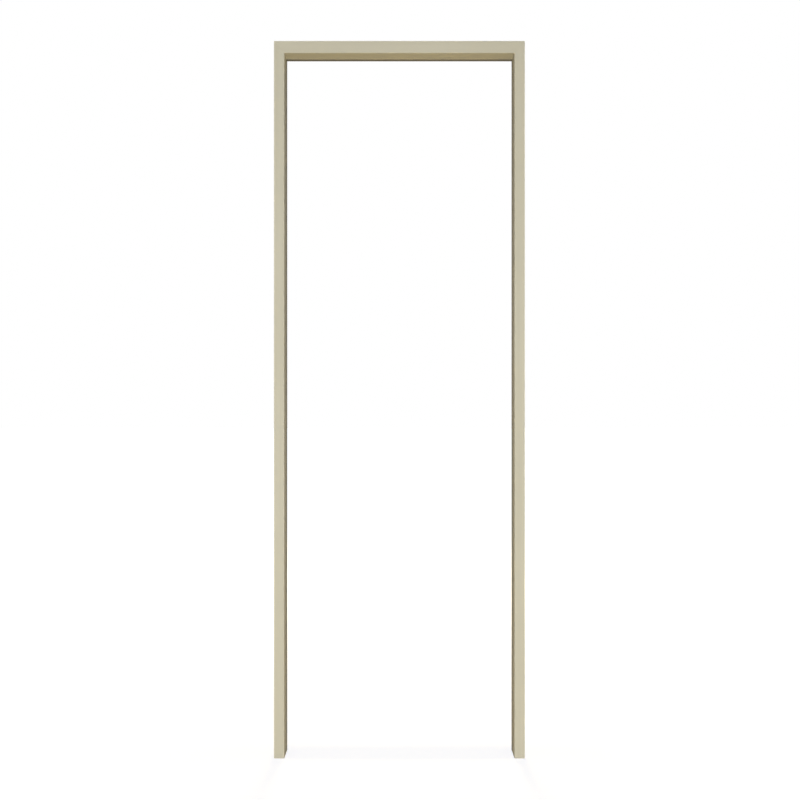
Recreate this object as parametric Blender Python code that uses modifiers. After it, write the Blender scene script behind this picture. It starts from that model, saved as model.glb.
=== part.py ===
"""A plain three-sided uPVC door frame: two jambs and a head, with no sill.

Metres, +Z up. The origin is on the floor, midway between the jambs and midway through
the depth. The stop side faces -Y, and the rebate that takes the door leaf faces +Y.

Each member is a hollow extrusion. Its section is drawn in u and v: u runs from the wall
side towards the opening, and v from the front face to the back. The length w runs up a
jamb and from left to right along the head.
"""

import math

import bmesh
import bpy
from mathutils import Matrix, Vector

# Overall size
FRAME_WIDTH = 0.700
FRAME_HEIGHT = 2.000
FRAME_DEPTH = 0.100
JAMB_FACE = 0.0295
HEAD_FACE = 0.0345

# Section of the members
STOP_DEPTH = 0.062
STOP_RISE = 0.012
WALL = 0.0025
WEB = 0.0018
FRONT_CHAMBER_DEPTH = 0.0095
OUTER_EDGE_RADIUS = 0.0025
INNER_EDGE_RADIUS = 0.0018
SMALL_EDGE_RADIUS = 0.0006
CHAMBER_EDGE_RADIUS = 0.0005
MITRE_GAP = 0.0003

# Seal and the notch that holds it, at the stop's rear edge
NOTCH_DEPTH = 0.012
NOTCH_HEIGHT = 0.005
GROOVE_NECK_WIDTH = 0.0032
GROOVE_NECK_HEIGHT = 0.002
GROOVE_ROOM_WIDTH = 0.0056
GROOVE_ROOM_HEIGHT = 0.003
SEAL_GAP = 0.0003
SEAL_PROUD_OF_REVEAL = 0.0006
SEAL_PROUD_OF_STOP = 0.002
SEAL_SKIN = 0.0012
SEAL_EDGE_RADIUS = 0.0009
SEAL_FOOT_CLEARANCE = 0.001
SEAL_STEM_CUTBACK = 0.014

# Steel stiffener in the second chamber
STEEL_THICKNESS = 0.0012
STEEL_LIP = 0.006
STEEL_BEND_RADIUS = 0.002
CHAMBER_FIT = 0.0004
STEEL_FOOT_CLEARANCE = 0.010
STEEL_TO_KEY = 0.004

# Corner key
KEY_LEG = 0.090
KEY_SKIN = 0.003
KEY_SCREW_BLOCK = 0.014
KEY_SCREWS_PER_LEG = 2
KEY_CORNER_CHAMFER = 0.004

# Screws
SCREW_GAP = 0.0003
SCREW_SINK = 0.0002
SCREW_HEAD_RADIUS = 0.0036
SCREW_HEAD_HEIGHT = 0.0019
SCREW_SHANK_RADIUS = 0.0019
SCREW_TIP_LENGTH = 0.003
SCREW_TIP_RADIUS = 0.0004
SCREW_SIDES = 16
CORNER_SCREW_LENGTH = 0.019
STEEL_SCREW_LENGTH = 0.013
DRIVE_SPAN = 0.0042
DRIVE_WIDTH = 0.0010
DRIVE_DEPTH = 0.0012
STEEL_SCREW_MARGIN = 0.060
STEEL_SCREW_MOST_SPACING = 0.450

# How finely curves are drawn, and how far a cutting tool runs past what it cuts
ARC_STEPS = 4
SMOOTH_ANGLE = math.radians(30)
FLAT_FACE_WEIGHT = 100
TOOL_OVERRUN = 0.002
WELD_DISTANCE = 0.00001

# The jambs' names, by the side of the opening that they stand on
SIDE_NAMES = {-1: "left", 1: "right"}

# Sizes that follow from the ones above
MITRE_SLOPE = HEAD_FACE / JAMB_FACE
REVEAL_DEPTH = STOP_DEPTH - NOTCH_DEPTH
GROOVE_MIDDLE = STOP_DEPTH - NOTCH_DEPTH / 2
STEEL_CHAMBER_FRONT = WALL + FRONT_CHAMBER_DEPTH + WEB
STEEL_CHAMBER_BACK = REVEAL_DEPTH - WALL
SCREW_LINE = (STEEL_CHAMBER_FRONT + STEEL_CHAMBER_BACK) / 2

# Colours as red, green and blue from 0 to 255, with roughness and metallic value
FINISHES = {
    "upvc_beige": ((203, 196, 174), 0.42, 0.0),
    "seal_rubber": ((74, 68, 56), 0.70, 0.0),
    "galvanised_steel": ((168, 171, 173), 0.45, 1.0),
    "key_nylon": ((58, 59, 61), 0.55, 0.0),
    "screw_steel": ((186, 184, 176), 0.32, 1.0),
}


def clear_scene():
    for thing in list(bpy.data.objects):
        bpy.data.objects.remove(thing, do_unlink=True)


def new_collection(name):
    collection = bpy.data.collections.new(name)
    bpy.context.scene.collection.children.link(collection)
    return collection


def linear(value):
    """One colour channel from 0 to 255, as the linear value that a shader takes."""
    share = value / 255
    if share <= 0.04045:
        return share / 12.92
    return ((share + 0.055) / 1.055) ** 2.4


def make_material(name):
    colour, roughness, metallic = FINISHES[name]
    rgba = [linear(value) for value in colour] + [1.0]
    material = bpy.data.materials.new(name)
    material.use_nodes = True
    material.diffuse_color = rgba
    shader = material.node_tree.nodes["Principled BSDF"]
    shader.inputs["Base Color"].default_value = rgba
    shader.inputs["Roughness"].default_value = roughness
    shader.inputs["Metallic"].default_value = metallic
    return material


def add_piece(name, mesh, collection, material=None):
    """An object of this name. Pieces that share a mesh share its material too."""
    piece = bpy.data.objects.new(name, mesh)
    collection.objects.link(piece)
    if material and not mesh.materials:
        mesh.materials.append(material)
    return piece


def evaluated_mesh(thing):
    """The thing's shape in world space, with its modifiers in it."""
    graph = bpy.context.evaluated_depsgraph_get()
    mesh = bpy.data.meshes.new_from_object(thing.evaluated_get(graph))
    mesh.transform(thing.matrix_world)
    return mesh


def weld(mesh):
    shape = bmesh.new()
    shape.from_mesh(mesh)
    bmesh.ops.remove_doubles(shape, verts=shape.verts, dist=WELD_DISTANCE)
    bmesh.ops.recalc_face_normals(shape, faces=shape.faces)
    shape.to_mesh(mesh)
    shape.free()


def shade(mesh):
    mesh.shade_smooth()
    mesh.set_sharp_from_angle(angle=SMOOTH_ANGLE)


def rounded(corners):
    """A closed outline from corners (x, y, radius), with each round corner as an arc."""
    points = []
    for index, (x, y, radius) in enumerate(corners):
        corner = Vector((x, y))
        if radius == 0:
            points.append(corner)
            continue
        following = corners[(index + 1) % len(corners)]
        back = (Vector(corners[index - 1][:2]) - corner).normalized()
        ahead = (Vector(following[:2]) - corner).normalized()
        half_angle = back.angle(ahead) / 2
        centre = corner + (back + ahead).normalized() * radius / math.sin(half_angle)
        reach = radius / math.tan(half_angle)
        first = corner + back * reach - centre
        last = corner + ahead * reach - centre
        start = math.atan2(first.y, first.x)
        sweep = math.atan2(first.cross(last), first.dot(last))
        for step in range(ARC_STEPS + 1):
            angle = start + sweep * step / ARC_STEPS
            points.append(centre + Vector((math.cos(angle), math.sin(angle))) * radius)
    return points


def rectangle(low_x, low_y, high_x, high_y, radius=0.0):
    return [
        (low_x, low_y, radius),
        (high_x, low_y, radius),
        (high_x, high_y, radius),
        (low_x, high_y, radius),
    ]


def extrusion(outlines, length):
    """The first outline, less the others as holes, drawn out from w = 0 to w = length."""
    curve = bpy.data.curves.new("section", "CURVE")
    curve.dimensions = "2D"
    curve.fill_mode = "BOTH"
    curve.extrude = length / 2
    for outline in outlines:
        points = rounded(outline)
        spline = curve.splines.new("POLY")
        spline.points.add(len(points) - 1)
        for target, point in zip(spline.points, points):
            target.co = (point.x, point.y, 0.0, 1.0)
        spline.use_cyclic_u = True
    section = bpy.data.objects.new("section", curve)
    section.location.z = length / 2
    bpy.context.scene.collection.objects.link(section)
    bpy.context.view_layer.update()
    mesh = evaluated_mesh(section)
    bpy.data.objects.remove(section, do_unlink=True)
    bpy.data.curves.remove(curve)
    weld(mesh)
    return mesh


def slope_end(mesh, end, offset, slope):
    """Moves the end at w = end along w by offset + slope * u, which cuts it as a mitre."""
    for vertex in mesh.vertices:
        if abs(vertex.co.z - end) < WELD_DISTANCE:
            vertex.co.z = end + offset + slope * vertex.co.x


def place(mesh, matrix):
    """Sets the mesh in its place. A mirrored place turns its faces out again."""
    mesh.transform(matrix)
    if matrix.determinant() < 0:
        mesh.flip_normals()


def jamb_place(side):
    """From u, v, w to the frame, for the left jamb at side -1 or the right one at +1."""
    corner = (side * FRAME_WIDTH / 2, -FRAME_DEPTH / 2, 0)
    return Matrix.Translation(corner) @ Matrix.Diagonal((-side, 1, 1, 1))


def head_place():
    """From u, v, w to the frame, for the head: u runs down and w runs to the right."""
    corner = (-FRAME_WIDTH / 2, -FRAME_DEPTH / 2, FRAME_HEIGHT)
    axes = Matrix(((0, 0, 1, 0), (0, 1, 0, 0), (-1, 0, 0, 0), (0, 0, 0, 1)))
    return Matrix.Translation(corner) @ axes


def stop_rise(face):
    """The stop's height over the rebate floor. It grows with the face, so mitres meet."""
    return STOP_RISE * face / JAMB_FACE


def member_outlines(face):
    """The section of a jamb or the head, with its four chambers."""
    rebate_floor = face - stop_rise(face)
    notch_floor = face - NOTCH_HEIGHT
    neck_floor = notch_floor - GROOVE_NECK_HEIGHT
    room_floor = neck_floor - GROOVE_ROOM_HEIGHT
    neck_front = GROOVE_MIDDLE - GROOVE_NECK_WIDTH / 2
    neck_back = GROOVE_MIDDLE + GROOVE_NECK_WIDTH / 2
    room_front = GROOVE_MIDDLE - GROOVE_ROOM_WIDTH / 2
    room_back = GROOVE_MIDDLE + GROOVE_ROOM_WIDTH / 2
    outside = [
        (0, 0, OUTER_EDGE_RADIUS),
        (face, 0, INNER_EDGE_RADIUS),
        (face, REVEAL_DEPTH, SMALL_EDGE_RADIUS),
        (notch_floor, REVEAL_DEPTH, 0),
        (notch_floor, neck_front, 0),
        (neck_floor, neck_front, 0),
        (neck_floor, room_front, 0),
        (room_floor, room_front, 0),
        (room_floor, room_back, 0),
        (neck_floor, room_back, 0),
        (neck_floor, neck_back, 0),
        (notch_floor, neck_back, 0),
        (notch_floor, STOP_DEPTH, SMALL_EDGE_RADIUS),
        (rebate_floor, STOP_DEPTH, SMALL_EDGE_RADIUS),
        (rebate_floor, FRAME_DEPTH, INNER_EDGE_RADIUS),
        (0, FRAME_DEPTH, OUTER_EDGE_RADIUS),
    ]
    stop_back = STOP_DEPTH - WALL
    front = (WALL, WALL, face - WALL, WALL + FRONT_CHAMBER_DEPTH)
    steel = (WALL, STEEL_CHAMBER_FRONT, face - WALL, STEEL_CHAMBER_BACK)
    under_seal = (WALL, STEEL_CHAMBER_BACK + WEB, room_floor - WEB, stop_back)
    rebate = (WALL, stop_back + WEB, rebate_floor - WALL, FRAME_DEPTH - WALL)
    chambers = [front, steel, under_seal, rebate]
    return [outside] + [rectangle(*room, CHAMBER_EDGE_RADIUS) for room in chambers]


def jamb_mesh(side):
    mesh = extrusion(member_outlines(JAMB_FACE), FRAME_HEIGHT)
    gap = MITRE_GAP / 2 * math.hypot(1, MITRE_SLOPE)
    slope_end(mesh, FRAME_HEIGHT, -gap, -MITRE_SLOPE)
    place(mesh, jamb_place(side))
    return mesh


def head_mesh():
    mesh = extrusion(member_outlines(HEAD_FACE), FRAME_WIDTH)
    gap = MITRE_GAP / 2 * math.hypot(1, 1 / MITRE_SLOPE)
    slope_end(mesh, 0, gap, 1 / MITRE_SLOPE)
    slope_end(mesh, FRAME_WIDTH, -gap, -1 / MITRE_SLOPE)
    place(mesh, head_place())
    return mesh


def seal_outlines(face):
    """The bulb seal's section, with the stem that holds it in its groove."""
    body_floor = face - NOTCH_HEIGHT + SEAL_GAP
    body_top = face + SEAL_PROUD_OF_REVEAL
    body_front = REVEAL_DEPTH + SEAL_GAP
    body_back = STOP_DEPTH + SEAL_PROUD_OF_STOP
    shoulder = face - NOTCH_HEIGHT - GROOVE_NECK_HEIGHT - SEAL_GAP
    barb_floor = shoulder - GROOVE_ROOM_HEIGHT + 2 * SEAL_GAP
    neck_half = GROOVE_NECK_WIDTH / 2 - SEAL_GAP
    barb_half = GROOVE_ROOM_WIDTH / 2 - SEAL_GAP
    outside = [
        (body_floor, body_front, 0),
        (body_floor, GROOVE_MIDDLE - neck_half, 0),
        (shoulder, GROOVE_MIDDLE - neck_half, 0),
        (shoulder, GROOVE_MIDDLE - barb_half, 0),
        (barb_floor, GROOVE_MIDDLE - neck_half, 0),
        (barb_floor, GROOVE_MIDDLE + neck_half, 0),
        (shoulder, GROOVE_MIDDLE + barb_half, 0),
        (shoulder, GROOVE_MIDDLE + neck_half, 0),
        (body_floor, GROOVE_MIDDLE + neck_half, 0),
        (body_floor, body_back, SEAL_EDGE_RADIUS),
        (body_top, body_back, SEAL_EDGE_RADIUS),
        (body_top, body_front, SEAL_EDGE_RADIUS),
    ]
    bulb = rectangle(
        body_floor + SEAL_SKIN,
        body_front + SEAL_SKIN,
        body_top - SEAL_SKIN,
        body_back - SEAL_SKIN,
        SEAL_EDGE_RADIUS,
    )
    return [outside, bulb]


def stem_tool(face, low, high):
    """What takes the seal's stem away between two places along it, so it can turn a corner."""
    stem_top = face - NOTCH_HEIGHT + SEAL_GAP / 2
    stem_floor = stem_top - GROOVE_NECK_HEIGHT - GROOVE_ROOM_HEIGHT - TOOL_OVERRUN
    outline = rectangle(stem_floor, REVEAL_DEPTH, stem_top, STOP_DEPTH)
    mesh = extrusion([outline], high - low)
    mesh.transform(Matrix.Translation((0, 0, low)))
    return mesh


def jamb_seal(side):
    """The seal's mesh and the tool for its stem, for one jamb."""
    gap = MITRE_GAP / 2 * math.sqrt(2)
    top = FRAME_HEIGHT - (HEAD_FACE - JAMB_FACE)
    length = top - SEAL_FOOT_CLEARANCE
    mesh = extrusion(seal_outlines(JAMB_FACE), length)
    slope_end(mesh, length, -gap, -1)
    mesh.transform(Matrix.Translation((0, 0, SEAL_FOOT_CLEARANCE)))
    stem_end = FRAME_HEIGHT - HEAD_FACE - SEAL_STEM_CUTBACK
    tool = stem_tool(JAMB_FACE, stem_end, FRAME_HEIGHT)
    for part in (mesh, tool):
        place(part, jamb_place(side))
    return mesh, tool


def head_seal():
    """The seal's mesh and the tools for its stem, one for each end, for the head."""
    gap = MITRE_GAP / 2 * math.sqrt(2)
    inset = HEAD_FACE - JAMB_FACE
    mesh = extrusion(seal_outlines(HEAD_FACE), FRAME_WIDTH)
    slope_end(mesh, 0, gap - inset, 1)
    slope_end(mesh, FRAME_WIDTH, inset - gap, -1)
    stem_end = JAMB_FACE + SEAL_STEM_CUTBACK
    left = stem_tool(HEAD_FACE, 0, stem_end)
    right = stem_tool(HEAD_FACE, FRAME_WIDTH - stem_end, FRAME_WIDTH)
    for part in (mesh, left, right):
        place(part, head_place())
    return mesh, left, right


def steel_outline(face):
    """A lipped channel whose web lies against the wall side of its chamber."""
    low_u = WALL + CHAMBER_FIT
    high_u = face - WALL - CHAMBER_FIT
    low_v = STEEL_CHAMBER_FRONT + CHAMBER_FIT
    high_v = STEEL_CHAMBER_BACK - CHAMBER_FIT
    bend = STEEL_BEND_RADIUS
    inner_bend = STEEL_BEND_RADIUS - STEEL_THICKNESS
    return [
        (low_u, low_v, bend),
        (high_u, low_v, bend),
        (high_u, low_v + STEEL_LIP, 0),
        (high_u - STEEL_THICKNESS, low_v + STEEL_LIP, 0),
        (high_u - STEEL_THICKNESS, low_v + STEEL_THICKNESS, inner_bend),
        (low_u + STEEL_THICKNESS, low_v + STEEL_THICKNESS, inner_bend),
        (low_u + STEEL_THICKNESS, high_v - STEEL_THICKNESS, inner_bend),
        (high_u - STEEL_THICKNESS, high_v - STEEL_THICKNESS, inner_bend),
        (high_u - STEEL_THICKNESS, high_v - STEEL_LIP, 0),
        (high_u, high_v - STEEL_LIP, 0),
        (high_u, high_v, bend),
        (low_u, high_v, bend),
    ]


def jamb_steel_span():
    """The stiffener's two ends along a jamb."""
    return STEEL_FOOT_CLEARANCE, FRAME_HEIGHT - KEY_LEG - STEEL_TO_KEY


def head_steel_span():
    """The stiffener's two ends along the head."""
    return KEY_LEG + STEEL_TO_KEY, FRAME_WIDTH - KEY_LEG - STEEL_TO_KEY


def steel_mesh(face, span, matrix):
    low, high = span
    mesh = extrusion([steel_outline(face)], high - low)
    mesh.transform(Matrix.Translation((0, 0, low)))
    place(mesh, matrix)
    return mesh


def key_leg_bays(leg_start):
    """A leg's bays from where it leaves the corner, each a window and then a screw block.

    Each bay is the two ends of its window. The last block ends the leg.
    """
    bay = (KEY_LEG - leg_start) / KEY_SCREWS_PER_LEG
    starts = [leg_start + bay * number for number in range(KEY_SCREWS_PER_LEG)]
    return [(start, start + bay - KEY_SCREW_BLOCK) for start in starts]


def key_screw_places(leg_start):
    """How far from the frame's outer corner each screw of a leg lies, in its block's middle."""
    return [window_end + KEY_SCREW_BLOCK / 2 for _, window_end in key_leg_bays(leg_start)]


def key_mesh(side):
    """The L-shaped key of one corner, drawn from the frame's outer corner."""
    low = WALL + CHAMBER_FIT
    jamb_high = JAMB_FACE - WALL - CHAMBER_FIT
    head_high = HEAD_FACE - WALL - CHAMBER_FIT
    outside = [
        (low + KEY_CORNER_CHAMFER, low, 0),
        (KEY_LEG, low, 0),
        (KEY_LEG, head_high, 0),
        (jamb_high, head_high, 0),
        (jamb_high, KEY_LEG, 0),
        (low, KEY_LEG, 0),
        (low, low + KEY_CORNER_CHAMFER, 0),
    ]
    low_window = low + KEY_SKIN
    jamb_window = jamb_high - KEY_SKIN
    head_window = head_high - KEY_SKIN
    windows = [rectangle(low_window, low_window, jamb_window, head_window)]
    for start, end in key_leg_bays(HEAD_FACE):
        windows.append(rectangle(low_window, start, jamb_window, end))
    for start, end in key_leg_bays(JAMB_FACE):
        windows.append(rectangle(start, low_window, end, head_window))
    depth = STEEL_CHAMBER_BACK - STEEL_CHAMBER_FRONT - 2 * CHAMBER_FIT
    mesh = extrusion([outside] + windows, depth)
    front = STEEL_CHAMBER_FRONT + CHAMBER_FIT - FRAME_DEPTH / 2
    corner = (side * FRAME_WIDTH / 2, front, FRAME_HEIGHT)
    axes = Matrix(((-side, 0, 0, 0), (0, 0, 1, 0), (0, -1, 0, 0), (0, 0, 0, 1)))
    place(mesh, Matrix.Translation(corner) @ axes)
    return mesh


def turned(profile):
    """A closed round shape about Z, from a profile of (radius, height) points."""
    mesh = bpy.data.meshes.new("profile")
    points = [(radius, 0, height) for radius, height in profile]
    edges = [(index, index + 1) for index in range(len(points) - 1)]
    mesh.from_pydata(points, edges, [])
    lathe = bpy.data.objects.new("lathe", mesh)
    bpy.context.scene.collection.objects.link(lathe)
    screw = lathe.modifiers.new("turn", "SCREW")
    screw.axis = "Z"
    screw.steps = SCREW_SIDES
    screw.render_steps = SCREW_SIDES
    screw.use_merge_vertices = True
    screw.merge_threshold = WELD_DISTANCE
    bpy.context.view_layer.update()
    shape = evaluated_mesh(lathe)
    bpy.data.objects.remove(lathe, do_unlink=True)
    bpy.data.meshes.remove(mesh)
    weld(shape)
    return shape


def drive_tool():
    """A cross-shaped prism, for the drive in a screw's head."""
    reach = DRIVE_SPAN / 2
    half = DRIVE_WIDTH / 2
    outline = []
    for quarter in range(4):
        turn = Matrix.Rotation(quarter * math.pi / 2, 2)
        for corner in ((reach, -half), (reach, half), (half, half)):
            point = turn @ Vector(corner)
            outline.append((point.x, point.y, 0))
    mesh = extrusion([outline], DRIVE_DEPTH + TOOL_OVERRUN)
    mesh.transform(Matrix.Translation((0, 0, -DRIVE_DEPTH)))
    return mesh


def screw_mesh(length):
    """A countersunk screw with its head's top at the origin and its shank along -Z."""
    return turned(
        [
            (0, 0),
            (SCREW_HEAD_RADIUS, 0),
            (SCREW_SHANK_RADIUS, -SCREW_HEAD_HEIGHT),
            (SCREW_SHANK_RADIUS, SCREW_TIP_LENGTH - length),
            (SCREW_TIP_RADIUS, -length),
            (0, -length),
        ]
    )


def screw_hole_mesh(length):
    """The countersunk hole for such a screw. The origin is on the surface it enters."""
    head_radius = SCREW_HEAD_RADIUS + SCREW_GAP
    shank_radius = SCREW_SHANK_RADIUS + SCREW_GAP
    depth = SCREW_SINK + length + SCREW_GAP
    return turned(
        [
            (0, TOOL_OVERRUN),
            (head_radius, TOOL_OVERRUN),
            (head_radius, -SCREW_SINK),
            (shank_radius, -SCREW_SINK - SCREW_HEAD_HEIGHT),
            (shank_radius, -depth),
            (0, -depth),
        ]
    )


def spread(span):
    """Evenly spaced places for a stiffener's screws, from one margin to the other."""
    low = span[0] + STEEL_SCREW_MARGIN
    length = span[1] - STEEL_SCREW_MARGIN - low
    spaces = max(1, math.ceil(length / STEEL_SCREW_MOST_SPACING))
    return [low + length * index / spaces for index in range(spaces + 1)]


def jamb_screw_place(side, height):
    """Where a screw enters a jamb from its wall side."""
    place_on_wall = (side * FRAME_WIDTH / 2, SCREW_LINE - FRAME_DEPTH / 2, height)
    turn = Matrix.Rotation(side * math.pi / 2, 4, "Y")
    return Matrix.Translation(place_on_wall) @ turn


def head_screw_place(across):
    """Where a screw enters the head from its top, at a distance from its left end."""
    place_on_top = (across - FRAME_WIDTH / 2, SCREW_LINE - FRAME_DEPTH / 2, FRAME_HEIGHT)
    return Matrix.Translation(place_on_top)


def jamb_steel_places(side):
    """Where the screws of a jamb's stiffener enter the jamb."""
    return [jamb_screw_place(side, height) for height in spread(jamb_steel_span())]


def head_steel_places():
    """Where the screws of the head's stiffener enter the head."""
    return [head_screw_place(across) for across in spread(head_steel_span())]


def jamb_key_places(side):
    """Where the screws of one corner key enter the jamb."""
    depths = key_screw_places(HEAD_FACE)
    return [jamb_screw_place(side, FRAME_HEIGHT - depth) for depth in depths]


def head_key_places(side):
    """Where the screws of one corner key enter the head."""
    middle = FRAME_WIDTH / 2
    insets = key_screw_places(JAMB_FACE)
    return [head_screw_place(middle + side * (middle - inset)) for inset in insets]


def joined(meshes):
    """One mesh of several separate bodies."""
    shape = bmesh.new()
    for mesh in meshes:
        shape.from_mesh(mesh)
    whole = bpy.data.meshes.new("tool")
    shape.to_mesh(whole)
    shape.free()
    return whole


def cut(piece, tool_meshes, tools):
    """Takes the tools' shape away from the piece."""
    tool = add_piece(piece.name + "_tool", joined(tool_meshes), tools)
    tool.hide_render = True
    tool.display_type = "WIRE"
    hole = piece.modifiers.new("cut", "BOOLEAN")
    hole.operation = "DIFFERENCE"
    hole.solver = "EXACT"
    hole.object = tool


def holes(length, places):
    """A screw hole's mesh at each of these places."""
    meshes = []
    for matrix in places:
        mesh = screw_hole_mesh(length)
        mesh.transform(matrix)
        meshes.append(mesh)
    return meshes


def screw_with_drive(length):
    """The mesh that all screws of one length share, with the cross cut in the head."""
    blank = bpy.data.objects.new("blank", screw_mesh(length))
    cross = bpy.data.objects.new("cross", drive_tool())
    for thing in (blank, cross):
        bpy.context.scene.collection.objects.link(thing)
    drive = blank.modifiers.new("drive", "BOOLEAN")
    drive.operation = "DIFFERENCE"
    drive.solver = "EXACT"
    drive.object = cross
    bpy.context.view_layer.update()
    mesh = evaluated_mesh(blank)
    for thing in (blank, cross):
        bpy.data.objects.remove(thing, do_unlink=True)
    return mesh


def add_jamb(side, parts, tools, finishes):
    """A jamb, the stiffener inside it and the seal along its stop."""
    name = SIDE_NAMES[side]
    steel_holes = holes(STEEL_SCREW_LENGTH, jamb_steel_places(side))
    key_holes = holes(CORNER_SCREW_LENGTH, jamb_key_places(side))
    jamb = add_piece(f"jamb_{name}", jamb_mesh(side), parts, finishes["upvc_beige"])
    cut(jamb, steel_holes + key_holes, tools)
    channel = steel_mesh(JAMB_FACE, jamb_steel_span(), jamb_place(side))
    steel = add_piece(f"stiffener_{name}", channel, parts, finishes["galvanised_steel"])
    cut(steel, steel_holes, tools)
    strip, stem = jamb_seal(side)
    seal = add_piece(f"seal_{name}", strip, parts, finishes["seal_rubber"])
    cut(seal, [stem], tools)


def add_head(parts, tools, finishes):
    """The head, the stiffener inside it and the seal along its stop."""
    steel_holes = holes(STEEL_SCREW_LENGTH, head_steel_places())
    key_holes = holes(CORNER_SCREW_LENGTH, head_key_places(-1) + head_key_places(1))
    head = add_piece("head", head_mesh(), parts, finishes["upvc_beige"])
    cut(head, steel_holes + key_holes, tools)
    channel = steel_mesh(HEAD_FACE, head_steel_span(), head_place())
    steel = add_piece("stiffener_head", channel, parts, finishes["galvanised_steel"])
    cut(steel, steel_holes, tools)
    strip, left_stem, right_stem = head_seal()
    seal = add_piece("seal_head", strip, parts, finishes["seal_rubber"])
    cut(seal, [left_stem, right_stem], tools)


def add_corner_key(side, parts, tools, finishes):
    """The key that joins a jamb to the head."""
    places = jamb_key_places(side) + head_key_places(side)
    key = add_piece(
        f"corner_key_{SIDE_NAMES[side]}", key_mesh(side), parts, finishes["key_nylon"]
    )
    cut(key, holes(CORNER_SCREW_LENGTH, places), tools)


def add_screws(prefix, mesh, places, parts, finishes):
    """One screw at each place, numbered from 1, with its head sunk below the surface."""
    sunk = Matrix.Translation((0, 0, -SCREW_SINK))
    for number, matrix in enumerate(places, start=1):
        screw = add_piece(f"{prefix}_{number}", mesh, parts, finishes["screw_steel"])
        screw.matrix_world = matrix @ sunk


def add_all_screws(parts, finishes):
    key_screw = screw_with_drive(CORNER_SCREW_LENGTH)
    steel_screw = screw_with_drive(STEEL_SCREW_LENGTH)
    for side, name in SIDE_NAMES.items():
        key_places = jamb_key_places(side) + head_key_places(side)
        add_screws(f"corner_screw_{name}", key_screw, key_places, parts, finishes)
        places = jamb_steel_places(side)
        add_screws(f"stiffener_screw_{name}", steel_screw, places, parts, finishes)
    add_screws("stiffener_screw_head", steel_screw, head_steel_places(), parts, finishes)


def shade_pieces(parts):
    """Round edges shade smooth, and faces with a hole cut in them stay flat."""
    for piece in parts.objects:
        shade(piece.data)
        if piece.modifiers:
            flat = piece.modifiers.new("flat faces", "WEIGHTED_NORMAL")
            flat.weight = FLAT_FACE_WEIGHT


def build():
    clear_scene()
    parts = new_collection("upvc_door_frame")
    tools = new_collection("cutting_tools")
    finishes = {name: make_material(name) for name in FINISHES}
    for side in SIDE_NAMES:
        add_jamb(side, parts, tools, finishes)
        add_corner_key(side, parts, tools, finishes)
    add_head(parts, tools, finishes)
    add_all_screws(parts, finishes)
    shade_pieces(parts)


build()
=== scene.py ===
"""The looks of a plain three-sided uPVC door frame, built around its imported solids.

Metres, +Z up, with the stop side facing -Y. The members, stiffeners and corner keys keep
their solids and get finishes of their own. The seals and the screws are modelled afresh,
and each mitre gets a film of joint filler.
"""

import math

import bmesh
import bpy
from mathutils import Matrix, Vector


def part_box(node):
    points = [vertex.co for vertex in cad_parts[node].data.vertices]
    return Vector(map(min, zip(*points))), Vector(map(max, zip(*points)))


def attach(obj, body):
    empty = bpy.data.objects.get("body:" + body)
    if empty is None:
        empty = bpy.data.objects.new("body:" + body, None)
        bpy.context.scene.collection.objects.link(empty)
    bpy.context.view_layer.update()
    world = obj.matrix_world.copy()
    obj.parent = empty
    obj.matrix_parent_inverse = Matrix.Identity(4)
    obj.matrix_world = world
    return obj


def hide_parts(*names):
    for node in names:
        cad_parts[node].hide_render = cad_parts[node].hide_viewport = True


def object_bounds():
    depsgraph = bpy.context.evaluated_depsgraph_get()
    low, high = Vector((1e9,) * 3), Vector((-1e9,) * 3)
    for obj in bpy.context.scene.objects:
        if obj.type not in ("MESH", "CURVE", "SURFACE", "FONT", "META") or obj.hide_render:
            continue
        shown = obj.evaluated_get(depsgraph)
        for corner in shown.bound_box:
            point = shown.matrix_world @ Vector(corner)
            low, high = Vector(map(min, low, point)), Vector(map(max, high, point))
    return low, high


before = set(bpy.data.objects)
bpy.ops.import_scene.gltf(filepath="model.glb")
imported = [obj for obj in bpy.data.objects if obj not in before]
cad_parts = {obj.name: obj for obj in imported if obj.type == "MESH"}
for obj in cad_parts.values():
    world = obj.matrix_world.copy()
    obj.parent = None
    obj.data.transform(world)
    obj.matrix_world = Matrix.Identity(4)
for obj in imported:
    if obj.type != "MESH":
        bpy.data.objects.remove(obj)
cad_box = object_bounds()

# The photograph's view: its size and its scale at the front face, and what it centres on
IMAGE_POINTS = 800
POINTS_PER_METRE = 358.9
CAMERA_TO_FACE = 2.58
SENSOR_WIDTH = 36.0
LOOK_X = 0.0017
LOOK_Z = 0.99875

# Light and floor. The floor's glow turns from its near colour to its far one between two
# distances from the middle of the doorway
WORLD_STRENGTH = 0.13
WHITE = (1.0, 1.0, 1.0)
FLOOR_SIZE = 60.0
FLOOR_COLOUR = (0.585, 0.447, 0.205)
FLOOR_GLOW_NEAR = (0.586, 0.673, 0.839)
FLOOR_GLOW_FAR = (1.00, 1.05, 1.10)
FLOOR_NEAR_DISTANCE = 0.5
FLOOR_FAR_DISTANCE = 2.2

# The whole range of a pattern, and the part of it where most of a noise lies
UNIT_RANGE = (0.0, 1.0)
NOISE_RANGE = (0.3, 0.7)

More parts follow.
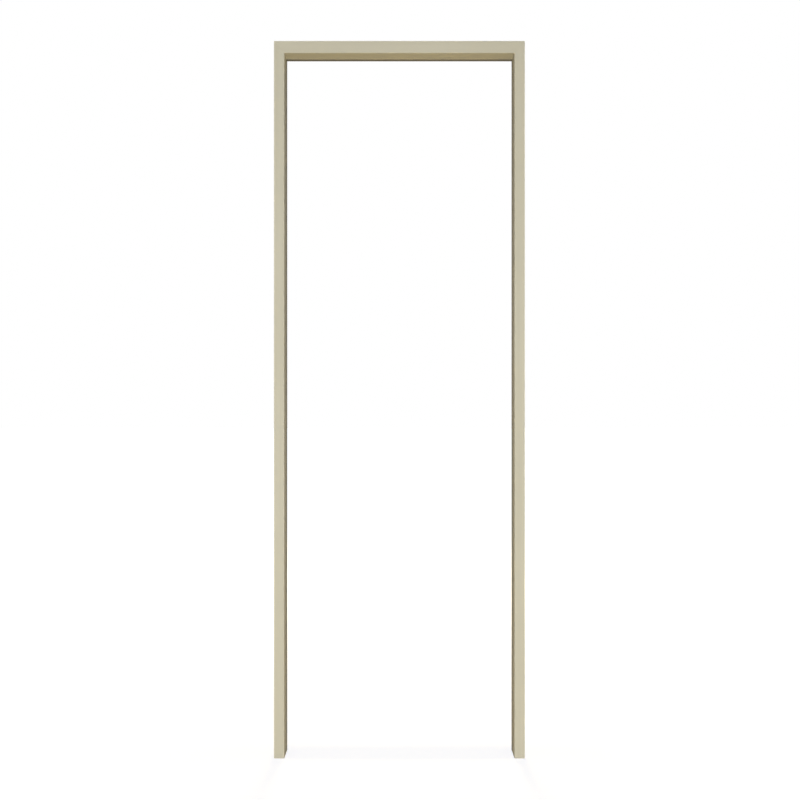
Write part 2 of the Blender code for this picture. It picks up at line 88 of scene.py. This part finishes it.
# Finishes, with linear colours. The smaller a squeeze is, the longer are a pattern's lines
UPVC_COLOUR = (0.617, 0.601, 0.499)
UPVC_DARK = (0.570, 0.551, 0.446)
UPVC_LIGHT = (0.661, 0.646, 0.543)
UPVC_CUT = (0.678, 0.663, 0.567)
UPVC_EVENNESS = 0.55
UPVC_ROUGHNESS = (0.74, 0.84)
UPVC_SPECK_ROUGHNESS = (-0.02, 0.02)
UPVC_CUT_ROUGHNESS = (0.0, 0.2)
UPVC_IOR = 1.53
UPVC_SPECULAR = 0.20
UPVC_SQUEEZE = 0.012
RUBBER_COLOUR = (0.135, 0.118, 0.085)
RUBBER_BLOOM = (0.205, 0.185, 0.142)
RUBBER_ROUGHNESS = (0.62, 0.80)
RUBBER_SQUEEZE = 0.02
GALVANISED_DARK = (0.33, 0.35, 0.37)
GALVANISED_LIGHT = (0.56, 0.58, 0.60)
GALVANISED_FLECK = (0.45, 0.47, 0.49)
GALVANISED_ROUGHNESS = (0.34, 0.52)
NYLON_COLOUR = (0.030, 0.031, 0.033)
NYLON_FIBRE = (0.062, 0.063, 0.066)
NYLON_ROUGHNESS = (0.45, 0.62)
NYLON_SQUEEZE = 0.25
PLATING_COLOUR = (0.50, 0.49, 0.46)
PLATING_CLOUD = (0.37, 0.37, 0.36)
PLATING_ROUGHNESS = (0.38, 0.52)
FILLER_COLOUR = (0.500, 0.462, 0.360)
FILLER_ROUGHNESS = (0.60, 0.75)

# The film of joint filler in each mitre. A jamb's mitre is where its normal points both
# upwards and inwards by more than MITRE_FACING
FILLER_THICKNESS = 0.00024
FILLER_CLEARANCE = 0.00003
MITRE_FACING = 0.6

# The seals' section. Overall sizes come from the solids that they replace
SEAL_BODY_HEIGHT = 0.0053
SEAL_SKIN = 0.0012
SEAL_FRONT_RADIUS = 0.0009
SEAL_FRONT_STEPS = 4
SEAL_NOSE_REACH = 0.0030
SEAL_NOSE_POWER = 2.6
SEAL_NOSE_STEPS = 16
SEAL_GROOVES = 3
SEAL_GROOVE_PITCH = 0.0020
SEAL_GROOVE_WIDTH = 0.0007
SEAL_GROOVE_DEPTH = 0.00035
SEAL_STEM_MIDDLE = 0.0057
SEAL_NECK_HALF = 0.0013
SEAL_BARB_HALF = 0.0025
SEAL_BARB_HEIGHT = 0.0024
SEAL_STEM_CUTBACK = 0.0185
SEAL_STEM_OVERLAP = 0.0005
SEAL_MITRE_SLOPE = 1

# Screws. Head and length come from the solid that a screw replaces
SHANK_RADIUS = 0.0019
CORE_RADIUS = 0.00135
HEAD_CONE_HEIGHT = 0.0019
HEAD_RIM = 0.00018
NECK_LENGTH = 0.0007
THREAD_START = HEAD_CONE_HEIGHT + NECK_LENGTH
THREAD_PITCH = 0.0014
THREAD_FADE = 0.0012
CREST_SHARPNESS = 3
TIP_LENGTH = 0.0040
TIP_RADIUS = 0.00012
RINGS_PER_PITCH = 12
RING_SIDES = 24
SCREW_TURN = math.radians(137.5)
SAME_LENGTH_DIGITS = 5

# The cross recess. Its tool reaches as far out of the head as into it. A taper is the share
# of a size that is left at the tool's tip, and a flare is the share at its top
RECESS_SPAN = 0.0042
RECESS_WIDTH = 0.0011
RECESS_DEPTH = 0.0016
SPAN_TAPER = 0.35
SPAN_FLARE = 1.6
WIDTH_TAPER = 0.7
WIDTH_FLARE = 1.1

# Mesh work
WELD_DISTANCE = 0.000001
SMOOTH_ANGLE = math.radians(35)
QUARTER_TURN = math.pi / 2


def placed(name, data):
    """A new object in the scene."""
    thing = bpy.data.objects.new(name, data)
    bpy.context.scene.collection.objects.link(thing)
    return thing


def mesh_from(shape, name):
    """A new mesh from a bmesh, which is freed."""
    mesh = bpy.data.meshes.new(name)
    shape.to_mesh(mesh)
    shape.free()
    return mesh


def put_in_order(parts, place):
    """Sorts a shape's corners or faces by their place, for the same order in each run."""
    ranks = {part: rank for rank, part in enumerate(sorted(parts, key=place))}
    parts.sort(key=ranks.get)


def feed(tree, socket, value):
    """Gives a socket a number, a colour or another node's output."""
    if isinstance(value, bpy.types.NodeSocket):
        tree.links.new(value, socket)
    elif socket.type == "RGBA":
        socket.default_value = (*value, 1.0)
    else:
        socket.default_value = value


def add_node(tree, kind, sockets=None, **settings):
    """A new node with its settings, and with its sockets fed by name or by number."""
    node = tree.nodes.new("ShaderNode" + kind)
    for name, setting in settings.items():
        setattr(node, name, setting)
    for socket, value in (sockets or {}).items():
        feed(tree, node.inputs[socket], value)
    return node


class Nodes:
    """A material's node tree, with a short call for each node that it is built from."""

    def __init__(self, name):
        self.material = bpy.data.materials.new(name)
        self.material.use_nodes = True
        self.tree = self.material.node_tree
        self.shader = self.tree.nodes["Principled BSDF"]
        self.place = self.add("TexCoord").outputs["Object"]

    def add(self, kind, sockets=None, **settings):
        """A new node in this material."""
        return add_node(self.tree, kind, sockets, **settings)

    def squeezed(self, axes, squeeze):
        """Coordinates squeezed along the named axes, so that patterns are drawn out there."""
        scale = [squeeze if axis in axes else 1.0 for axis in "XYZ"]
        return self.add("Mapping", {"Vector": self.place, "Scale": scale}).outputs["Vector"]

    def noise(self, per_metre, detail, roughness=0.5, place=None):
        """A noise from 0 to 1, with about so many patches to a metre."""
        texture = self.add("TexNoise", {
            "Vector": place or self.place,
            "Scale": per_metre,
            "Detail": detail,
            "Roughness": roughness,
        })
        return texture.outputs["Fac"]

    def cells(self, per_metre):
        """About so many cells to a metre, with a colour each and the distance to the middle."""
        return self.add("TexVoronoi", {"Vector": self.place, "Scale": per_metre}).outputs

    def spread(self, value, within=NOISE_RANGE, onto=UNIT_RANGE):
        """One range of a value turned into another, held at both ends."""
        node = self.add("MapRange", {
            "Value": value,
            "From Min": within[0],
            "From Max": within[1],
            "To Min": onto[0],
            "To Max": onto[1],
        })
        return node.outputs["Result"]

    def calculate(self, operation, *values):
        """The result of a sum or another operation on one or two values."""
        node = self.add("Math", dict(enumerate(values)), operation=operation)
        return node.outputs["Value"]

    def mix(self, amount, first, second):
        """The first colour where the amount is 0, the second where it is 1."""
        sockets = {"Factor": amount, "A": first, "B": second}
        return self.add("Mix", sockets, data_type="RGBA").outputs["Result"]

    def facing(self, axis):
        """How squarely the surface faces along a world axis, either way, from 0 to 1."""
        normal = self.add("NewGeometry").outputs["Normal"]
        split = self.add("SeparateXYZ", {"Vector": normal})
        return self.calculate("ABSOLUTE", split.outputs[axis])

    def surface(self, colour, roughness, metallic=0.0):
        """Gives the shader its colour, roughness and metallic value."""
        feed(self.tree, self.shader.inputs["Base Color"], colour)
        feed(self.tree, self.shader.inputs["Roughness"], roughness)
        feed(self.tree, self.shader.inputs["Metallic"], metallic)

    def relief(self, pattern, strength, height):
        """Gives the shader a bumpy surface, with so many metres from a pattern's 0 to its 1."""
        bump = self.add("Bump", {"Height": pattern, "Strength": strength, "Distance": height})
        feed(self.tree, self.shader.inputs["Normal"], bump.outputs["Normal"])


def upvc(name, along):
    """Satin extruded uPVC. The die's lines run along the member, on X or Z."""
    nodes = Nodes(name)
    run = nodes.squeezed(along, UPVC_SQUEEZE)
    lines = nodes.noise(per_metre=900, detail=3, roughness=0.6, place=run)
    bands = nodes.noise(per_metre=95, detail=2, place=run)
    cloud = nodes.noise(per_metre=2.2, detail=3)
    speck = nodes.noise(per_metre=1400, detail=1)
    dark_bands = nodes.spread(bands, within=(0.40, 0.70), onto=(0.0, 0.45))
    light_lines = nodes.spread(lines, within=(0.50, 0.80), onto=(0.0, 0.40))
    cut_end = nodes.spread(nodes.facing(along), within=(0.90, 0.98))

    tone = nodes.mix(nodes.spread(cloud), UPVC_DARK, UPVC_LIGHT)
    tone = nodes.mix(UPVC_EVENNESS, tone, UPVC_COLOUR)
    tone = nodes.mix(dark_bands, tone, UPVC_DARK)
    tone = nodes.mix(light_lines, tone, UPVC_LIGHT)
    tone = nodes.mix(cut_end, tone, UPVC_CUT)

    rough = nodes.spread(bands, onto=UPVC_ROUGHNESS)
    rough = nodes.calculate("ADD", rough, nodes.spread(speck, onto=UPVC_SPECK_ROUGHNESS))
    cut_rough = nodes.spread(cut_end, within=UNIT_RANGE, onto=UPVC_CUT_ROUGHNESS)
    rough = nodes.calculate("ADD", rough, cut_rough)
    nodes.surface(tone, rough)
    feed(nodes.tree, nodes.shader.inputs["IOR"], UPVC_IOR)
    feed(nodes.tree, nodes.shader.inputs["Specular IOR Level"], UPVC_SPECULAR)

    low_specks = nodes.spread(speck, within=UNIT_RANGE, onto=(0.0, 0.35))
    nodes.relief(nodes.calculate("ADD", lines, low_specks), strength=0.16, height=0.0004)
    return nodes.material


def rubber(name, along):
    """Matt extruded rubber with a faint pale bloom."""
    nodes = Nodes(name)
    run = nodes.squeezed(along, RUBBER_SQUEEZE)
    lines = nodes.noise(per_metre=1500, detail=2, place=run)
    bloom = nodes.noise(per_metre=38, detail=4, roughness=0.6, place=run)
    grain = nodes.noise(per_metre=2600, detail=1)
    bloomed = nodes.spread(bloom, within=(0.40, 0.70), onto=(0.0, 0.5))
    tone = nodes.mix(bloomed, RUBBER_COLOUR, RUBBER_BLOOM)
    nodes.surface(tone, nodes.spread(bloom, onto=RUBBER_ROUGHNESS))
    nodes.relief(nodes.calculate("ADD", lines, grain), strength=0.22, height=0.0003)
    return nodes.material


def galvanised():
    """Rolled steel with the leafy crystals of hot-dip zinc."""
    nodes = Nodes("galvanised_steel")
    leaf_colour = nodes.cells(per_metre=150)["Color"]
    leaf = nodes.add("SeparateColor", {"Color": leaf_colour}).outputs["Red"]
    middle_distance = nodes.cells(per_metre=420)["Distance"]
    flecks = nodes.spread(middle_distance, within=(0.0, 0.6), onto=(0.0, 0.5))
    grain = nodes.noise(per_metre=2400, detail=2)
    tone = nodes.mix(leaf, GALVANISED_DARK, GALVANISED_LIGHT)
    tone = nodes.mix(flecks, tone, GALVANISED_FLECK)
    rough = nodes.spread(leaf, within=UNIT_RANGE, onto=GALVANISED_ROUGHNESS)
    nodes.surface(tone, rough, metallic=1.0)
    nodes.relief(nodes.calculate("ADD", leaf, grain), strength=0.10, height=0.0003)
    return nodes.material


def nylon():
    """Dark glass-filled nylon with a moulded grain."""
    nodes = Nodes("key_nylon")
    flow = nodes.squeezed("XZ", NYLON_SQUEEZE)
    fibres = nodes.noise(per_metre=900, detail=3, place=flow)
    grain = nodes.cells(per_metre=1300)["Distance"]
    tone = nodes.mix(nodes.spread(fibres, within=(0.4, 0.7)), NYLON_COLOUR, NYLON_FIBRE)
    nodes.surface(tone, nodes.spread(fibres, onto=NYLON_ROUGHNESS))
    nodes.relief(grain, strength=0.25, height=0.0002)
    return nodes.material


def zinc():
    """Bright zinc plating, with a little clouding."""
    nodes = Nodes("screw_steel")
    cloud = nodes.noise(per_metre=500, detail=4)
    turning = nodes.noise(per_metre=4200, detail=1)
    tone = nodes.mix(nodes.spread(cloud, within=(0.35, 0.7)), PLATING_COLOUR, PLATING_CLOUD)
    nodes.surface(tone, nodes.spread(cloud, onto=PLATING_ROUGHNESS), metallic=1.0)
    nodes.relief(turning, strength=0.06, height=0.0001)
    return nodes.material


def filler():
    """Matt joint filler in the uPVC's colour, a little darker."""
    nodes = Nodes("joint_filler")
    cloud = nodes.noise(per_metre=60, detail=3)
    grain = nodes.noise(per_metre=1800, detail=2)
    tone = nodes.mix(nodes.spread(cloud), FILLER_COLOUR, UPVC_DARK)
    nodes.surface(tone, nodes.spread(cloud, onto=FILLER_ROUGHNESS))
    nodes.relief(grain, strength=0.2, height=0.0002)
    return nodes.material


def make_finishes():
    """A material for each kind of piece. What lies along the head has its lines along X."""
    return {
        "jamb": upvc("upvc_upright", along="Z"),
        "head": upvc("upvc_level", along="X"),
        "seal": rubber("rubber_upright", along="Z"),
        "seal_head": rubber("rubber_level", along="X"),
        "stiffener": galvanised(),
        "corner_key": nylon(),
        "screw": zinc(),
        "mitre_film": filler(),
    }


def finish_of(name, finishes):
    """The material of a node's own name, or else of its kind, such as seal for seal_left."""
    if "screw" in name:
        return finishes["screw"]
    kind = name if name in finishes else name.rsplit("_", 1)[0]
    return finishes[kind]


def finish_cad_nodes(finishes):
    """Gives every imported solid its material."""
    for name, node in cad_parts.items():
        for slot in node.material_slots:
            slot.material = finish_of(name, finishes)


def add_mitre_film(name, finish):
    """A thin film on a jamb's mitre, with the section that the mitre shows."""
    shape = bmesh.new()
    shape.from_mesh(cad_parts[name].data)
    bmesh.ops.remove_doubles(shape, verts=shape.verts, dist=WELD_DISTANCE)
    shape.normal_update()
    inward = -math.copysign(1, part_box(name)[0].x)
    mitre, others = [], []
    for face in shape.faces:
        on_mitre = min(face.normal.z, inward * face.normal.x) > MITRE_FACING
        (mitre if on_mitre else others).append(face)
    across = mitre[0].normal.copy()
    bmesh.ops.delete(shape, geom=others, context="FACES")
    bmesh.ops.translate(shape, verts=shape.verts, vec=across * FILLER_CLEARANCE)
    raised = bmesh.ops.extrude_face_region(shape, geom=list(shape.faces), use_keep_orig=True)
    lifted = [part for part in raised["geom"] if isinstance(part, bmesh.types.BMVert)]
    bmesh.ops.translate(shape, verts=lifted, vec=across * FILLER_THICKNESS)
    bmesh.ops.recalc_face_normals(shape, faces=shape.faces)
    put_in_order(shape.verts, lambda corner: corner.co.to_tuple())
    put_in_order(shape.faces, lambda face: face.calc_center_median().to_tuple())
    mesh = mesh_from(shape, "mitre_film")
    mesh.materials.append(finish)
    film = placed(name.replace("jamb", "mitre_film"), mesh)
    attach(film, "root")


def joined_mesh(body, tool, operation):
    """The body's mesh after the tool is cut from it or joined to it. Both objects go.

    The Boolean can leave edges and faces of no size, which are dissolved.
    """
    change = body.modifiers.new("change", "BOOLEAN")
    change.operation = operation
    change.solver = "EXACT"
    change.use_self = True
    change.object = tool
    graph = bpy.context.evaluated_depsgraph_get()
    mesh = bpy.data.meshes.new_from_object(body.evaluated_get(graph))
    for thing in (body, tool):
        bpy.data.objects.remove(thing)
    shape = bmesh.new()
    shape.from_mesh(mesh)
    bmesh.ops.dissolve_degenerate(shape, dist=WELD_DISTANCE, edges=shape.edges)
    shape.to_mesh(mesh)
    shape.free()
    return mesh


def finish_mesh(mesh, finish):
    """Gives a mesh its material, and shades it smooth up to its sharp edges."""
    mesh.materials.clear()
    mesh.materials.append(finish)
    mesh.shade_smooth()
    mesh.set_sharp_from_angle(angle=SMOOTH_ANGLE)


def nose(middle, reach, half_height):
    """Half a rounded square from its top round the rear to its bottom, as (height, depth)."""
    points = []
    for step in range(SEAL_NOSE_STEPS + 1):
        angle = math.pi * (0.5 - step / SEAL_NOSE_STEPS)
        up = math.sin(angle)
        back = max(0.0, math.cos(angle))
        height = math.copysign(abs(up) ** (2 / SEAL_NOSE_POWER), up) * half_height
        depth = middle + back ** (2 / SEAL_NOSE_POWER) * reach
        points.append((height - SEAL_BODY_HEIGHT / 2, depth))
    return points


def seal_outlines(depth):
    """The seal's body and the hollow in it, as (height, depth). The top is at height 0."""
    middle = depth - SEAL_NOSE_REACH
    half = SEAL_BODY_HEIGHT / 2
    outside = [(-SEAL_BODY_HEIGHT, 0.0)]
    for step in range(SEAL_FRONT_STEPS + 1):
        angle = QUARTER_TURN * step / SEAL_FRONT_STEPS
        height = SEAL_FRONT_RADIUS * (math.sin(angle) - 1)
        outside.append((height, SEAL_FRONT_RADIUS * (1 - math.cos(angle))))
    first = (SEAL_FRONT_RADIUS + middle - (SEAL_GROOVES - 1) * SEAL_GROOVE_PITCH) / 2
    for number in range(SEAL_GROOVES):
        place = first + number * SEAL_GROOVE_PITCH
        outside.append((0.0, place - SEAL_GROOVE_WIDTH / 2))
        outside.append((-SEAL_GROOVE_DEPTH, place))
        outside.append((0.0, place + SEAL_GROOVE_WIDTH / 2))
    outside += nose(middle, SEAL_NOSE_REACH, half)
    hollow = [(SEAL_SKIN - SEAL_BODY_HEIGHT, SEAL_SKIN), (-SEAL_SKIN, SEAL_SKIN)]
    hollow += nose(middle, SEAL_NOSE_REACH - SEAL_SKIN, half - SEAL_SKIN)
    return [outside, hollow]


def stem_outline(total_height):
    """The neck and the barb that hold the seal in its groove, as (height, depth)."""
    top = SEAL_STEM_OVERLAP - SEAL_BODY_HEIGHT
    shoulder = SEAL_BARB_HEIGHT - total_height
    half = [
        (top, SEAL_NECK_HALF),
        (shoulder, SEAL_NECK_HALF),
        (shoulder, SEAL_BARB_HALF),
        (-total_height, SEAL_NECK_HALF),
    ]
    front = [(height, SEAL_STEM_MIDDLE - out) for height, out in half]
    back = [(height, SEAL_STEM_MIDDLE + out) for height, out in reversed(half)]
    return front + back


def drawn_out(outlines, low, high, low_slope=0, high_slope=0):
    """A mesh of outlines (height, depth) drawn along Z, with ends that slope with the height."""
    shape = bmesh.new()
    rims = ([], [])
    for outline in outlines:
        ends = []
        for end, slope, rim in ((low, low_slope, rims[0]), (high, high_slope, rims[1])):
            loop = []
            for height, depth in outline:
                along = end + slope * (height + SEAL_BODY_HEIGHT)
                loop.append(shape.verts.new((height, depth, along)))
            for first, second in zip(loop, loop[1:] + loop[:1]):
                rim.append(shape.edges.new((first, second)))
            ends.append(loop)
        lower, upper = ends
        for index in range(len(outline)):
            after = (index + 1) % len(outline)
            shape.faces.new((lower[index], lower[after], upper[after], upper[index]))
    for rim in rims:
        bmesh.ops.triangle_fill(shape, edges=rim, use_beauty=True)
    bmesh.ops.recalc_face_normals(shape, faces=shape.faces)
    return mesh_from(shape, "seal")


def add_seal(name, finish):
    """A bulb seal with a hollow body, a barbed stem and mitred ends, in a plain seal's place."""
    low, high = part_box(name)
    outlines = seal_outlines(high.y - low.y)
    if name == "seal_head":
        ends = (low.x, high.x, SEAL_MITRE_SLOPE, -SEAL_MITRE_SLOPE)
        stem_ends = (low.x + SEAL_STEM_CUTBACK, high.x - SEAL_STEM_CUTBACK)
        stem = stem_outline(high.z - low.z)
        axes = Matrix(((0, 0, 1, 0), (0, 1, 0, low.y), (-1, 0, 0, low.z), (0, 0, 0, 1)))
    else:
        ends = (low.z, high.z, 0, -SEAL_MITRE_SLOPE)
        stem_ends = (low.z, high.z - SEAL_STEM_CUTBACK)
        stem = stem_outline(high.x - low.x)
        inward = -math.copysign(1, low.x)
        edge = high.x if inward > 0 else low.x
        axes = Matrix(((inward, 0, 0, edge), (0, 1, 0, low.y), (0, 0, 1, 0), (0, 0, 0, 1)))
    body = placed("seal_body", drawn_out(outlines, *ends))
    root = placed("seal_stem", drawn_out([stem], *stem_ends))
    mesh = joined_mesh(body, root, "UNION")
    mesh.transform(axes)
    if axes.determinant() < 0:
        mesh.flip_normals()
    finish_mesh(mesh, finish)
    seal = placed("bulb_" + name, mesh)
    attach(seal, "root")
    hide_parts(name)


def thread_height(depth, length):
    """How far the thread stands out at a depth below the head's top, from 0 to 1."""
    rise = min(1.0, max(0.0, (depth - THREAD_START) / THREAD_FADE))
    fall = min(1.0, max(0.0, (length - depth) / THREAD_FADE))
    return min(rise, fall)


def core_radius(depth, length):
    """The radius between the threads at a depth below the head's top. It narrows to the tip."""
    into_tip = max(0.0, (depth - (length - TIP_LENGTH)) / TIP_LENGTH)
    return CORE_RADIUS + (TIP_RADIUS - CORE_RADIUS) * into_tip


def threaded_radius(depth, length, angle):
    """The threaded shank's radius at a depth and an angle."""
    turned = math.tau * depth / THREAD_PITCH + angle
    crest = ((1 + math.cos(turned)) / 2) ** CREST_SHARPNESS
    full = SHANK_RADIUS - CORE_RADIUS
    return core_radius(depth, length) + full * crest * thread_height(depth, length)


def screw_body(length, head_radius):
    """A closed countersunk screw without its recess. The head's top is at the origin."""
    shape = bmesh.new()
    angles = [math.tau * side / RING_SIDES for side in range(RING_SIDES)]
    plain = [
        (head_radius - HEAD_RIM, 0.0),
        (head_radius, HEAD_RIM),
        (head_radius, 2 * HEAD_RIM),
        (SHANK_RADIUS, HEAD_CONE_HEIGHT),
        (SHANK_RADIUS, HEAD_CONE_HEIGHT + NECK_LENGTH / 2),
    ]
    rings = []
    for radius, depth in plain:
        rings.append([(radius * math.cos(a), radius * math.sin(a), -depth) for a in angles])
    steps = round((length - THREAD_START) / THREAD_PITCH * RINGS_PER_PITCH)
    for step in range(steps + 1):
        depth = THREAD_START + (length - THREAD_START) * step / steps
        radii = [threaded_radius(depth, length, a) for a in angles]
        rings.append([(r * math.cos(a), r * math.sin(a), -depth) for r, a in zip(radii, angles)])
    loops = [[shape.verts.new(place) for place in ring] for ring in rings]
    for upper, lower in zip(loops, loops[1:]):
        for side in range(RING_SIDES):
            after = (side + 1) % RING_SIDES
            shape.faces.new((upper[side], lower[side], lower[after], upper[after]))
    shape.faces.new(loops[0])
    shape.faces.new(list(reversed(loops[-1])))
    bmesh.ops.recalc_face_normals(shape, faces=shape.faces)
    return mesh_from(shape, "screw_body")


def recess_tool():
    """A cross-shaped driver tip that narrows downwards, to cut the recess with."""
    shape = bmesh.new()
    bmesh.ops.create_cone(
        shape, cap_ends=True, segments=RING_SIDES, radius1=RECESS_WIDTH * SPAN_TAPER,
        radius2=RECESS_WIDTH, depth=2 * RECESS_DEPTH)
    for turn in (0, QUARTER_TURN):
        wing = bmesh.ops.create_cube(shape, size=1.0)["verts"]
        for corner in wing:
            at_tip = corner.co.z < 0
            corner.co.x *= RECESS_SPAN * (SPAN_TAPER if at_tip else SPAN_FLARE)
            corner.co.y *= RECESS_WIDTH * (WIDTH_TAPER if at_tip else WIDTH_FLARE)
            corner.co.z *= 2 * RECESS_DEPTH
        bmesh.ops.rotate(shape, verts=wing, matrix=Matrix.Rotation(turn, 3, "Z"))
    return mesh_from(shape, "recess_tool")


def screw_mesh(length, head_radius, finish):
    """A threaded screw with a cross recess. The head's top is at the origin, and +Z is out."""
    body = placed("screw_body", screw_body(length, head_radius))
    tool = placed("recess_tool", recess_tool())
    mesh = joined_mesh(body, tool, "DIFFERENCE")
    finish_mesh(mesh, finish)
    return mesh


def add_screws(finish):
    """A threaded screw in the place of each plain one, its head on the frame's outer side."""
    names = sorted(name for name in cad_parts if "screw" in name)
    made = {}
    for number, name in enumerate(names):
        low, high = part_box(name)
        size = high - low
        middle = (low + high) / 2
        along_z = size.z > size.x
        length = size.z if along_z else size.x
        same = round(length, SAME_LENGTH_DIGITS)
        if same not in made:
            made[same] = screw_mesh(length, size.y / 2, finish)
        outward = Vector((0, 0, 1)) if along_z else Vector((math.copysign(1, middle.x), 0, 0))
        top = Matrix.Translation(middle + outward * length / 2)
        stand = outward.to_track_quat("Z", "Y").to_matrix().to_4x4()
        turn = Matrix.Rotation(number * SCREW_TURN, 4, "Z")
        screw = placed("threaded_" + name, made[same])
        screw.matrix_world = top @ stand @ turn
        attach(screw, "root")
        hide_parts(name)


def seen_rays(tree):
    """1 for the rays by which the camera, or a shiny or clear surface, sees around, else 0."""
    rays = add_node(tree, "LightPath").outputs
    seen = rays["Is Camera Ray"]
    for name in ("Is Glossy Ray", "Is Transmission Ray"):
        either = add_node(tree, "Math", {0: seen, 1: rays[name]}, operation="MAXIMUM")
        seen = either.outputs["Value"]
    return seen


def floor_material():
    """Pale floor that takes the object's shadow and reads white to the camera."""
    material = bpy.data.materials.new("studio_floor")
    material.use_nodes = True
    tree = material.node_tree
    tree.nodes.clear()
    place = add_node(tree, "TexCoord").outputs["Object"]
    distance = add_node(tree, "VectorMath", {0: place}, operation="LENGTH").outputs["Value"]
    away = add_node(tree, "MapRange", {
        "Value": distance,
        "From Min": FLOOR_NEAR_DISTANCE,
        "From Max": FLOOR_FAR_DISTANCE,
    }, interpolation_type="SMOOTHSTEP").outputs["Result"]
    ends = {"Factor": away, "A": FLOOR_GLOW_NEAR, "B": FLOOR_GLOW_FAR}
    tint = add_node(tree, "Mix", ends, data_type="RGBA").outputs["Result"]
    glow = add_node(tree, "Emission", {"Color": tint, "Strength": seen_rays(tree)})
    matt = add_node(tree, "BsdfDiffuse", {"Color": FLOOR_COLOUR})
    both = add_node(tree, "AddShader", {0: matt.outputs["BSDF"], 1: glow.outputs["Emission"]})
    add_node(tree, "OutputMaterial", {"Surface": both.outputs["Shader"]})
    return material


def add_floor():
    """A wide level floor under the object."""
    shape = bmesh.new()
    bmesh.ops.create_grid(shape, x_segments=1, y_segments=1, size=FLOOR_SIZE / 2)
    floor = placed("floor", mesh_from(shape, "floor"))
    floor.data.materials.append(floor_material())


def add_world():
    """Even white light, which the camera and mirror-like surfaces see as plain white."""
    world = bpy.data.worlds.new("studio")
    bpy.context.scene.world = world
    world.use_nodes = True
    tree = world.node_tree
    strengths = {"Value": seen_rays(tree), "To Min": WORLD_STRENGTH, "To Max": 1.0}
    strength = add_node(tree, "MapRange", strengths).outputs["Result"]
    background = tree.nodes["Background"]
    feed(tree, background.inputs["Color"], WHITE)
    feed(tree, background.inputs["Strength"], strength)


def add_lamp(name, source, target, size, power, spread):
    """A soft box that lights the object, unseen by the camera and by shiny surfaces."""
    lamp = bpy.data.lights.new(name, "AREA")
    lamp.shape = "RECTANGLE"
    lamp.size, lamp.size_y = size
    lamp.energy = power
    lamp.spread = math.radians(spread)
    thing = placed(name, lamp)
    thing.location = source
    aim = Vector(target) - Vector(source)
    thing.rotation_euler = aim.to_track_quat("-Z", "Y").to_euler()
    thing.visible_camera = False
    thing.visible_glossy = False


def add_lamps():
    """Soft boxes in front, behind, above and at both sides, in watts and degrees of spread."""
    add_lamp(
        "front_box", source=(0, -5.6, 0.65), target=(0, 0, 0.8), size=(1.0, 0.8),
        power=123, spread=140)
    add_lamp(
        "rear_box", source=(0, 4.8, 2.2), target=(0, 0, 1.0), size=(1.0, 1.4),
        power=50, spread=110)
    for side in (-1, 1):
        add_lamp(
            "side_strip", source=(side * 6.0, 0.15, 1.0), target=(0, 0.15, 1.0), size=(0.4, 1.9),
            power=54, spread=90)
    add_lamp(
        "top_box", source=(0, 0, 5.5), target=(0, 0, 2.0), size=(2.0, 2.0),
        power=40, spread=120)


def add_camera():
    """A level camera in front of the frame, with the photograph's framing."""
    lens_points = POINTS_PER_METRE * CAMERA_TO_FACE
    data = bpy.data.cameras.new("camera")
    data.sensor_width = SENSOR_WIDTH
    data.lens = SENSOR_WIDTH * lens_points / IMAGE_POINTS
    camera = placed("camera", data)
    camera.location = (LOOK_X, cad_box[0].y - CAMERA_TO_FACE, LOOK_Z)
    camera.rotation_euler = (QUARTER_TURN, 0, 0)
    bpy.context.scene.camera = camera


bpy.context.scene.view_settings.view_transform = "Standard"
add_camera()
add_world()
add_lamps()
add_floor()
finishes = make_finishes()
finish_cad_nodes(finishes)
add_screws(finishes["screw"])
for seal in ("seal_left", "seal_right", "seal_head"):
    add_seal(seal, finish_of(seal, finishes))
for jamb in ("jamb_left", "jamb_right"):
    add_mitre_film(jamb, finishes["mitre_film"])
